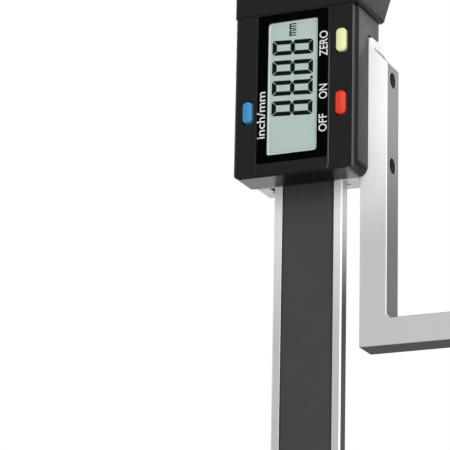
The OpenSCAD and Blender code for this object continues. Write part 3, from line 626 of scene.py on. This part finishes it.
def dressed(node, finish, width=None, rule=None):
    """Replaces a CAD node by a copy with joined flat faces, smooth curved faces and rounded edges."""
    sharp, flat, apart = 30, math.radians(0.3), 0.0005 * MM
    rounding, segments = ROUNDED.get(node, (0, 3))
    width = width or rounding * MM
    shell = bmesh.new()
    shell.from_mesh(NODES[node].data)
    bmesh.ops.remove_doubles(shell, verts=shell.verts, dist=apart)
    bmesh.ops.dissolve_limit(shell, angle_limit=flat, verts=shell.verts, edges=shell.edges)
    if rule:
        mark_rounded(shell, rule)
    mesh = bpy.data.meshes.new(node + "_finished")
    shell.to_mesh(mesh)
    shell.free()
    piece = placed(mesh, finish, node, sharp)
    if width:
        bevel = piece.modifiers.new("rounding", "BEVEL")
        bevel.width = width
        bevel.segments = segments
        bevel.limit_method = "WEIGHT" if rule else "ANGLE"
        bevel.angle_limit = math.radians(sharp)
        bevel.use_clamp_overlap = False
        bevel.loop_slide = False
        piece.modifiers.new("even_shading", "WEIGHTED_NORMAL").keep_sharp = True
    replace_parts(piece, node)


def coated(node, finish):
    """Gives a CAD node that stays its finish."""
    NODES[node].data.materials.clear()
    NODES[node].data.materials.append(finish)


def box_mm(node):
    """Lowest and highest corner of a CAD node, in millimetres."""
    low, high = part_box(node)
    return np.array(low) / MM, np.array(high) / MM


def lettering(name, text, place, front, finish, bold):
    """Raised letters that read upwards along Z, with their tops towards -X, stretched to fill a place.

    The place is (x of the tops, x of the feet, z of the start, z of the end), in millimetres.
    """
    raised = 0.01
    curve = bpy.data.curves.new(name, "FONT")
    curve.body = text
    curve.offset = bold
    curve.resolution_u = 4
    curve.extrude = 0.003
    drawn = bpy.data.objects.new(name + "_drawn", curve)
    bpy.context.scene.collection.objects.link(drawn)
    bpy.context.view_layer.update()
    mesh = bpy.data.meshes.new_from_object(drawn.evaluated_get(bpy.context.evaluated_depsgraph_get()))
    bpy.data.objects.remove(drawn)
    points = np.zeros(len(mesh.vertices) * 3)
    mesh.vertices.foreach_get("co", points)
    points = points.reshape(-1, 3)
    share = (points - points.min(axis=0)) / np.ptp(points, axis=0)
    tops, feet, start, end = place
    x, z = feet + (tops - feet) * share[:, 1], start + (end - start) * share[:, 0]
    y = front - raised * share[:, 2]
    mesh.vertices.foreach_set("co", (np.stack([x, y, z], axis=-1) * MM).ravel())
    mesh.materials.clear()
    mesh.name = name
    mesh.update()
    return placed(mesh, finish, "display_bezel")


# Operators


class GAUGE_OT_stage(bpy.types.Operator):
    """Set the camera, the even surround, the soft lights and the pale floor"""

    bl_idname = "gauge.stage"
    bl_label = "Stage"

    def execute(self, context):
        stage = context.scene.gauge_stage
        context.scene.view_settings.view_transform = "Standard"
        self.place_camera(context.scene, stage)
        self.light_world(context.scene, stage)
        for name, (*place, size, level) in LIGHTS.items():
            self.soft_light(name, *place, size, getattr(stage, level))
        self.lay_floor(stage)
        return {"FINISHED"}

    @staticmethod
    def outward(azimuth, elevation):
        """Direction from the gauge towards a place round it."""
        level = math.cos(elevation)
        return Vector((math.sin(azimuth) * level, -math.cos(azimuth) * level, math.sin(elevation)))

    def place_camera(self, scene, stage):
        camera = bpy.data.objects.new("camera", bpy.data.cameras.new("camera"))
        scene.collection.objects.link(camera)
        back = self.outward(stage.camera_azimuth, stage.camera_elevation)
        right = Vector((math.cos(stage.camera_azimuth), math.sin(stage.camera_azimuth), 0))
        up = back.cross(right)
        turn = Matrix((right, up, back)).transposed() @ Matrix.Rotation(stage.camera_roll, 3, "Z")
        camera.matrix_world = Matrix.Translation(stage.camera_place) @ turn.to_4x4()
        camera.data.lens = stage.focal_length
        camera.data.sensor_width = 36
        camera.data.clip_start = 0.01
        scene.camera = camera

    def light_world(self, scene, stage):
        """White to the camera, in mirrors and through glass, and a softer even level on everything matt."""
        scene.world = bpy.data.worlds.new("surround")
        scene.world.use_nodes = True
        nodes = Nodes(scene.world.node_tree)
        nodes.tree.nodes.clear()
        seen, mirrored, through = (
            nodes.node("ShaderNodeLightPath", output=f"Is {ray} Ray")
            for ray in ("Camera", "Glossy", "Transmission")
        )
        share = seen.math("MAXIMUM", mirrored).math("MAXIMUM", through)
        even, white = (
            nodes.node("ShaderNodeBackground", inputs={"Color": (1, 1, 1), "Strength": level})
            for level in (stage.surround, 1)
        )
        mix = nodes.node("ShaderNodeMixShader", inputs={0: share, 1: even, 2: white})
        out = nodes.tree.nodes.new("ShaderNodeOutputWorld")
        nodes.connect(out.inputs["Surface"], mix)

    def soft_light(self, name, azimuth, elevation, distance, size, level):
        """A rectangular light that looks at the display head. Its power gives its face the radiance level."""
        light = bpy.data.lights.new(name, "AREA")
        light.shape = "RECTANGLE"
        light.size, light.size_y = size
        light.energy = level * math.pi * size[0] * size[1]
        lamp = bpy.data.objects.new(name, light)
        bpy.context.scene.collection.objects.link(lamp)
        aim = Vector((0, 0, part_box("display_bezel")[0].z))
        away = self.outward(math.radians(azimuth), math.radians(elevation))
        lamp.location = aim + distance * away
        lamp.rotation_euler = away.to_track_quat("Z", "Y").to_euler()
        lamp.visible_camera = False

    def lay_floor(self, stage):
        """A disc that fades out towards its rim, so that it has no edge against the white."""
        sides = 96
        turn = np.linspace(0, 2 * math.pi, sides, endpoint=False)
        disc = np.stack([np.cos(turn), np.sin(turn), np.zeros_like(turn)], axis=-1) * stage.floor_radius
        mesh = bpy.data.meshes.new("floor")
        mesh.from_pydata(disc.tolist(), [], [list(range(sides))])
        finish = Finish("floor", specular_ior_level=0.2)
        length = {"operation": "LENGTH"}
        reach = finish.node("ShaderNodeVectorMath", length, {0: finish.place}, "Value") / stage.floor_radius
        finish.feed("Alpha", 1 - reach.band(0.45, 0.97))
        colour = finish.shaded(stage.floor_colour, 0.98 + 0.04 * finish.noise(12))
        mesh.materials.append(finish.done(colour, 0.7))
        floor = bpy.data.objects.new("floor", mesh)
        bpy.context.scene.collection.objects.link(floor)


class GAUGE_OT_case(bpy.types.Operator):
    """Round and finish the plastic case and the battery cover"""

    bl_idname = "gauge.case"
    bl_label = "Case"

    def execute(self, context):
        case = context.scene.gauge_case
        low, high = box_mm("display_bezel")
        cover = box_mm("battery_cover")[0]
        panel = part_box("front_housing")[0].y + case.panel_rise
        line_w = 0.04 * MM
        lowest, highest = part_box("zero_button")
        # The panel's front, the zero button's heights and the step wall tell where the painted highlights go.
        plastic = moulded_plastic(
            "moulded_black", case.colour, case.grain, case.highlight_painted, (panel - line_w, panel),
            (lowest.z, highest.z), (case.step_wall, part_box("battery_cover")[0].z, case.wall_highlight_colour),
        )
        reach, seam, aside, below = 0.1, 0.4, 0.2, 0.5
        touch, steep = 0.01, 60

        def panel_edges(middles, angles):
            """The raised panel's own outline, which runs outside the bezel and ends at the seam."""
            x, y, z = middles.T
            raised = (y < low[1] + reach) & (angles > steep) & (z < cover[2] - seam)
            outside = (x < low[0] - aside) | (x > high[0] + aside) | (z < low[2] - below)
            return (raised & outside).astype(float)

        def cover_edges(middles, angles):
            """The long lower edge of the cover's front, whatever its angle."""
            return ((middles[:, 1] < cover[1] + touch) & (middles[:, 2] < cover[2] + touch)).astype(float)

        dressed("front_housing", plastic, case.panel_round, panel_edges)
        dressed("battery_cover", plastic, case.cover_round, cover_edges)
        return {"FINISHED"}


class GAUGE_OT_display(bpy.types.Operator):
    """Make the bezel, the window, the display with its digits, and the lettering"""

    bl_idname = "gauge.display"
    bl_label = "Display"

    def execute(self, context):
        display = context.scene.gauge_display
        dressed("display_bezel", smooth_plastic("polished_black", display.bezel_colour, 0.01, 0.2))
        dressed("display_window", window_plastic("clear_window", COLOUR_OF["clear_window"]))
        coated("lcd_panel", liquid_crystal("display_grey", display.glass_colour))
        self.rim(display)
        self.digits(display)
        self.labels(display)
        return {"FINISHED"}

    def rim(self, display):
        """A thin pale frame just behind the window, between two round rectangles."""
        low, high = box_mm("display_window")
        front = box_mm("lcd_panel")[0][1]
        width, under = display.rim_w / MM, -0.2
        foot, edge, crest = -0.001, -0.02, -0.05
        corner, tighter = 0.7, 0.3
        rings = []
        for inset, depth in ((under, foot), (under, crest), (width / 2, crest), (width, edge), (width, foot)):
            outline = round_rect(low[[0, 2]] + inset, high[[0, 2]] - inset, corner - tighter * inset)
            rings.append(np.insert(outline, 1, front + depth, axis=1))
        rings = np.array(rings)
        faces = ring_faces(len(rings), rings.shape[1], closed=True)
        pale = printed_ink("pale_rim", display.rim_colour, 0.4)
        rings = rings.reshape(-1, 3)
        surface("display_rim", rings, faces[:, ::-1], pale, "lcd_panel", "lcd_grey", sharp=35)

    def bars(self, display):
        """The seven bars of a digit by their letters, each an outline with mitred ends that leave a gap."""
        h, w = display.digit_h / MM, display.digit_w / MM
        bar, rung = display.bar_w / MM, display.rung_w / MM
        gap, cut = display.bar_gap / MM / 2, display.corner_cut / MM
        mid, half = h / 2, rung / 2
        foot = [
            (cut, 0), (w - cut, 0), (w - cut / 2 - gap, cut / 2 - gap), (w - bar - gap, rung),
            (bar + gap, rung), (cut / 2 + gap, cut / 2 - gap),
        ]
        side = [
            (cut / 2 - gap, cut / 2 + gap), (bar, rung + gap), (bar, mid - half - gap),
            (bar / 2, mid - gap), (0, mid - half), (0, cut),
        ]
        under = [(bar / 2 + gap, mid), (bar + gap, mid - half), (w - bar - gap, mid - half)]
        across = under + [(w - x, h - y) for x, y in under]
        shapes = {"d": np.array(foot, float), "e": np.array(side, float), "g": np.array(across, float)}
        shapes["c"] = shapes["e"][::-1] * (-1, 1) + (w, 0)
        for lower, upper in ("da", "ef", "cb"):
            shapes[upper] = shapes[lower][::-1] * (1, -1) + (0, h)
        return shapes

    def digits(self, display):
        """Every lit bar is a flat prism on the display, turned so that the digits read upwards.

        A point's place on Z is its place across the digit plus the slant times its height, and its place on X
        is the digits' feet less its height.
        """
        low, high = box_mm("display_window")
        front = box_mm("lcd_panel")[0][1]
        feet, start = high[0] - display.baseline / MM, low[2] + display.first_digit / MM
        pitch, slant = display.digit_pitch / MM, display.digit_slant
        shapes = self.bars(display)
        dot, before = 0.3, 0.2
        back, face = -0.006, -0.03
        middle = (display.digit_w / MM - pitch) / 2 - before
        shapes["."] = np.array([(-1, -1), (1, -1), (1, 1), (-1, 1)]) * dot + (middle, dot)
        points, faces, place = [], [], 0
        for letter in display.reading:
            for outline in (shapes[bar] for bar in LIT.get(letter, letter)):
                across = outline[:, 0] + slant * outline[:, 1] + start + place
                for depth in (back, face):
                    level = np.full(len(outline), front + depth)
                    points.append(np.stack([feet - outline[:, 1], level, across], axis=-1))
                base = sum(len(ring) for ring in points[:-2])
                count = len(outline)
                faces += ring_faces(2, count, base).tolist()
                faces += [list(range(base, base + count))[::-1], list(range(base + count, base + 2 * count))]
            place += 0 if letter == "." else pitch
        ink = printed_ink("segment_black", (0.0008, 0.0025, 0.002), 0.5, 0.01)
        points = np.concatenate(points)
        surface("display_digits", points, faces, ink, "lcd_panel", "gloss_black", sharp=20)
        unit_tops, unit_feet, bold = 5.75, 4.05, 0.02
        unit_start, unit_end = 18.7, 21.6
        unit = (feet - unit_tops, feet - unit_feet, start + unit_start, start + unit_end)
        lettering("display_unit", "mm", unit, front + back, ink, bold)

    def labels(self, display):
        """White lettering on the bezel, in a plain type: beside each button what it does."""
        low, high = box_mm("display_bezel")
        white = printed_ink("label_white", display.letter_colour, 0.45)
        tall, bold = display.letter_h / MM, 0.008
        right_margin, left_margin = 0.03, 0.01
        tops = {"right": high[0] - right_margin - tall, "left": low[0] + left_margin}
        for name, (text, side, start, end) in LABELS.items():
            place = (tops[side], tops[side] + tall, low[2] + start, low[2] + end)
            lettering(name, text, place, low[1], white, bold)


class GAUGE_OT_buttons(bpy.types.Operator):
    """Make the three crowned buttons"""

    bl_idname = "gauge.buttons"
    bl_label = "Buttons"

    def execute(self, context):
        buttons = context.scene.gauge_buttons
        shoulder = buttons.shoulder / MM
        self.button("zero_button", smooth_plastic("button_yellow", buttons.zero_colour), shoulder)
        self.button("power_button", smooth_plastic("button_red", buttons.power_colour), shoulder)
        blue = smooth_plastic("button_blue", buttons.unit_colour)
        self.button("unit_button", blue, shoulder, buttons.unit_trim / MM)
        return {"FINISHED"}

    def button(self, node, finish, shoulder, trim=0.0):
        """A loft through round rectangles: stem, flange, straight sides, quarter-round shoulder and crown.

        The crown lies below the button's top by its height times the square of the share left to the middle.
        """
        low, high = box_mm(node)
        lowest, highest = low[[0, 2]], high[[0, 2]]
        stem_r, tall, crown = 0.9, 3.0, 0.12
        flange_w, flange_t = 0.8, 0.7
        corner, flange_corner, top_corner, least = 0.95, 0.2, 0.2, 0.05
        steps, shares = 9, (0.3, 0.6, 0.85)
        inwards = np.array((trim / 3, flange_w + trim))
        body_low, body_high = lowest + inwards, highest - inwards
        stem_end, flange_back = high[1], low[1] + tall
        flange_front = flange_back - flange_t
        middle = (lowest + highest) / 2
        rings = []

        def ring(first, last, radius, depth):
            rings.append(np.insert(round_rect(first, last, radius), 1, depth, axis=1))

        ring(middle - stem_r, middle + stem_r, stem_r, stem_end)
        ring(middle - stem_r, middle + stem_r, stem_r, flange_back)
        ring(lowest, highest, flange_corner, flange_back)
        ring(lowest, highest, flange_corner, flange_front)
        ring(body_low, body_high, corner, flange_front)
        for turn in np.linspace(0, math.pi / 2, steps):
            inset = shoulder * (1 - math.cos(turn))
            depth = low[1] + crown + shoulder * (1 - math.sin(turn))
            ring(body_low + inset, body_high - inset, max(corner - inset, top_corner), depth)
        half = (body_high[0] - body_low[0]) / 2 - shoulder
        for share in shares:
            inset = share * half
            depth = low[1] + crown * (1 - share) ** 2
            radius = max(top_corner - inset, least)
            ring(body_low + shoulder + inset, body_high - shoulder - inset, radius, depth)
        stand_in(node, "_cap", lofted(rings), finish, sharp=50)


class GAUGE_OT_beam(bpy.types.Operator):
    """Finish the beam, its printed strip and the end stop"""

    bl_idname = "gauge.beam"
    bl_label = "Beam"

    def execute(self, context):
        metal = context.scene.gauge_metal
        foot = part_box("slider_body")[0].z
        # Painted light and shade: the beam is darker from 38 mm below the slider's foot down, and the painted
        # shade of its sides ends between 30 and 6 mm below the foot.
        dull, film_share = 0.66, 0.71
        fade_low, neck_low, neck_high = foot - 38 * MM, foot - 30 * MM, foot - 6 * MM
        steel = ground_steel(
            "ground_steel", metal.face_colour, metal.beam_shaded_side_colour, metal=0.2,
            fade=(fade_low, foot, dull), neck=(neck_low, neck_high), edge=1.0,
        )
        satin = ground_steel("satin_steel", COLOUR_OF["satin_steel"], metal.shaded_side_colour, grain=(90, 90, 90))
        film = printed_film("printed_film", dimmed("scale_film", film_share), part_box("scale_film")[1].x)
        dressed("beam", steel)
        dressed("end_stop", satin)
        coated("scale_film", film)
        coated("stator_strip", laminate("laminate", "board_laminate"))
        dressed("end_stop_screws", plated_metal("zinc_plate", COLOUR_OF["zinc_screw"]))
        return {"FINISHED"}


class GAUGE_OT_head(bpy.types.Operator):
    """Finish the slider, the measuring arm and what moves on them"""

    bl_idname = "gauge.head"
    bl_label = "Slider and arm"

    def execute(self, context):
        metal = context.scene.gauge_metal
        satin = ground_steel("slider_steel", COLOUR_OF["satin_steel"], metal.shaded_side_colour, grain=(200, 200, 9))
        low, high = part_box("measuring_arm")
        tall, slope, blur = high.z - low.z, high.z - metal.neck_h, 0.3 * MM
        # Painted light and shade: the arm is darker towards its lower end, and above its slope the painted
        # shade of its sides ends.
        fade_low, fade_high, dull = low.z + 0.3 * tall, low.z + 0.78 * tall, 0.5
        first, last = box_mm("arm_screws")
        middle = (first[1] + last[1]) / 2
        head, clearance = 1.5, 0.2
        bores = [(middle, z, head + clearance) for z in (first[2] + head, last[2] - head)]
        arm = ground_steel(
            "arm_steel", metal.arm_colour, metal.arm_shaded_side_colour, metal.underside_shade_colour, metal=0.1,
            fade=(fade_low, fade_high, dull), neck=(slope, slope + blur), bores=bores, edge=1.0,
        )
        black = oxide_black("black_oxide", COLOUR_OF["black_oxide"])
        bronze = plated_metal("bronze", COLOUR_OF["bronze"], 0.3)
        dressed("slider_body", satin)
        dressed("measuring_arm", arm, metal.arm_edge)
        dressed("arm_screws", black)
        dressed("gib_screws", black)
        coated("gib_strip", bronze)
        dressed("lock_pad", bronze)
        dressed("housing_screws", bpy.data.materials["zinc_plate"])
        self.grips(metal)
        return {"FINISHED"}

    def grips(self, metal):
        """The thumb roller and the lock knob: turned bodies with grooves round them.

        Each profile runs from the middle of one end over the grooved rim to the middle of the other end.
        """
        finish = turned_steel("knurled_steel", COLOUR_OF["knurled_steel"])
        dish, slope, chamfer, faint = 0.35, 0.3, 0.4, 0.1
        low, high = box_mm("thumb_roller")
        radius, half = (high[0] - low[0]) / 2, (high[1] - low[1]) / 2
        bore, hub, rim = 1.05, 2.6, 1.1
        hair, groove = 0.02, 0.32
        side = [
            (half, bore, 0), (half, hub, 0), (half - dish, hub + slope, 0),
            (half - dish, radius - rim - slope, 0), (half, radius - rim, 0), (half, radius - chamfer, faint),
            (half - dish, radius - hair, 1),
        ]
        profile = side + [(-place, wide, share) for place, wide, share in side[::-1]]
        roller = turned((low + high) / 2, "Y", profile, metal.knurl_count, groove)
        stand_in("thumb_roller", "_knurled", roller, finish)
        low, high = box_mm("lock_screw")
        radius, inner = (high[2] - low[2]) / 2, high[0] - low[0]
        length, shaft, boss, dimple = 5.0, 1.45, 2.1, 0.35
        rim, rim_slope, back_edge = 0.5, 0.25, 0.45
        fillet, groove = 0.2, 0.42
        profile = [
            (0, dimple, 0), (0, boss, 0), (dish, boss + slope, 0), (dish, radius - rim - rim_slope, 0),
            (0, radius - rim, faint), (chamfer, radius, 1), (length - chamfer, radius, 1),
            (length, radius - back_edge, faint), (length, shaft + rim, 0), (length + fillet, shaft, 0),
            (inner - fillet, shaft, 0), (inner, shaft - fillet, 0), (inner, dimple, 0),
        ]
        start = (low[0], (low[1] + high[1]) / 2, (low[2] + high[2]) / 2)
        stand_in("lock_screw", "_knurled", turned(start, "X", profile, metal.knob_count, groove), finish)


class GAUGE_OT_base(bpy.types.Operator):
    """Finish the magnetic base, its clamp and its screws"""

    bl_idname = "gauge.base"
    bl_label = "Base"

    def execute(self, context):
        base = context.scene.gauge_base
        dressed("base_block", enamel("base_enamel", base.colour), base.edge_round)
        # Painted shade on the clamp plate's sides, and a painted highlight on its rounded edges.
        clamp = ground_steel("dark_steel", COLOUR_OF["dark_steel"], base.clamp_shaded_side, edge=0.35)
        dressed("clamp_plate", clamp)
        dressed("clamp_screws", bpy.data.materials["black_oxide"])
        dressed("base_magnets", plated_metal("nickel_plate", COLOUR_OF["nickel"], 0.12))
        dressed("magnet_screws", bpy.data.materials["zinc_plate"])
        return {"FINISHED"}


class GAUGE_OT_inside(bpy.types.Operator):
    """Finish the pieces inside the case"""

    bl_idname = "gauge.inside"
    bl_label = "Inner pieces"

    def execute(self, context):
        board_share, chip_grain, no_edge = 0.25, 0.2 * MM, 1.0
        coated("circuit_board", solder_mask("solder_mask", "board_green", board_share))
        coated("controller_chip", moulded_plastic("potting_resin", COLOUR_OF["chip_resin"], chip_grain))
        coated("zebra_strips", printed_film("silicone", COLOUR_OF["zebra_rubber"], no_edge))
        gold = plated_metal("gold_plate", COLOUR_OF["contact_gold"], 0.25)
        coated("switch_domes", gold)
        coated("battery_contacts", gold)
        dressed("button_cell", plated_metal("cell_case", COLOUR_OF["nickel"], 0.18))
        dressed("roller_pin", bpy.data.materials["satin_steel"])
        return {"FINISHED"}


class GAUGE_PT_sidebar(bpy.types.Panel):
    """Lists the gauge's settings and the steps that build it"""

    bl_label = "Digital Height Gauge"
    bl_space_type = "VIEW_3D"
    bl_region_type = "UI"
    bl_category = "Height Gauge"

    def draw(self, context):
        for operator in OPERATORS:
            self.layout.operator(operator.bl_idname)
        for name, settings in SETTINGS.items():
            box = self.layout.box()
            box.label(text=settings.__doc__)
            for field in settings.__annotations__:
                box.prop(getattr(context.scene, name), field)


OPERATORS = (
    GAUGE_OT_stage, GAUGE_OT_case, GAUGE_OT_display, GAUGE_OT_buttons, GAUGE_OT_beam, GAUGE_OT_head,
    GAUGE_OT_base, GAUGE_OT_inside,
)


def register():
    for name, group in SETTINGS.items():
        bpy.utils.register_class(group)
        setattr(bpy.types.Scene, name, PointerProperty(type=group))
    for shown in (*OPERATORS, GAUGE_PT_sidebar):
        bpy.utils.register_class(shown)


def unregister():
    for shown in (GAUGE_PT_sidebar, *OPERATORS):
        bpy.utils.unregister_class(shown)
    for name, group in SETTINGS.items():
        delattr(bpy.types.Scene, name)
        bpy.utils.unregister_class(group)


def main():
    register()
    bpy.ops.gauge.stage()
    bpy.ops.gauge.case()
    bpy.ops.gauge.display()
    bpy.ops.gauge.buttons()
    bpy.ops.gauge.beam()
    bpy.ops.gauge.head()
    bpy.ops.gauge.base()
    bpy.ops.gauge.inside()


if __name__ == "__main__":
    main()
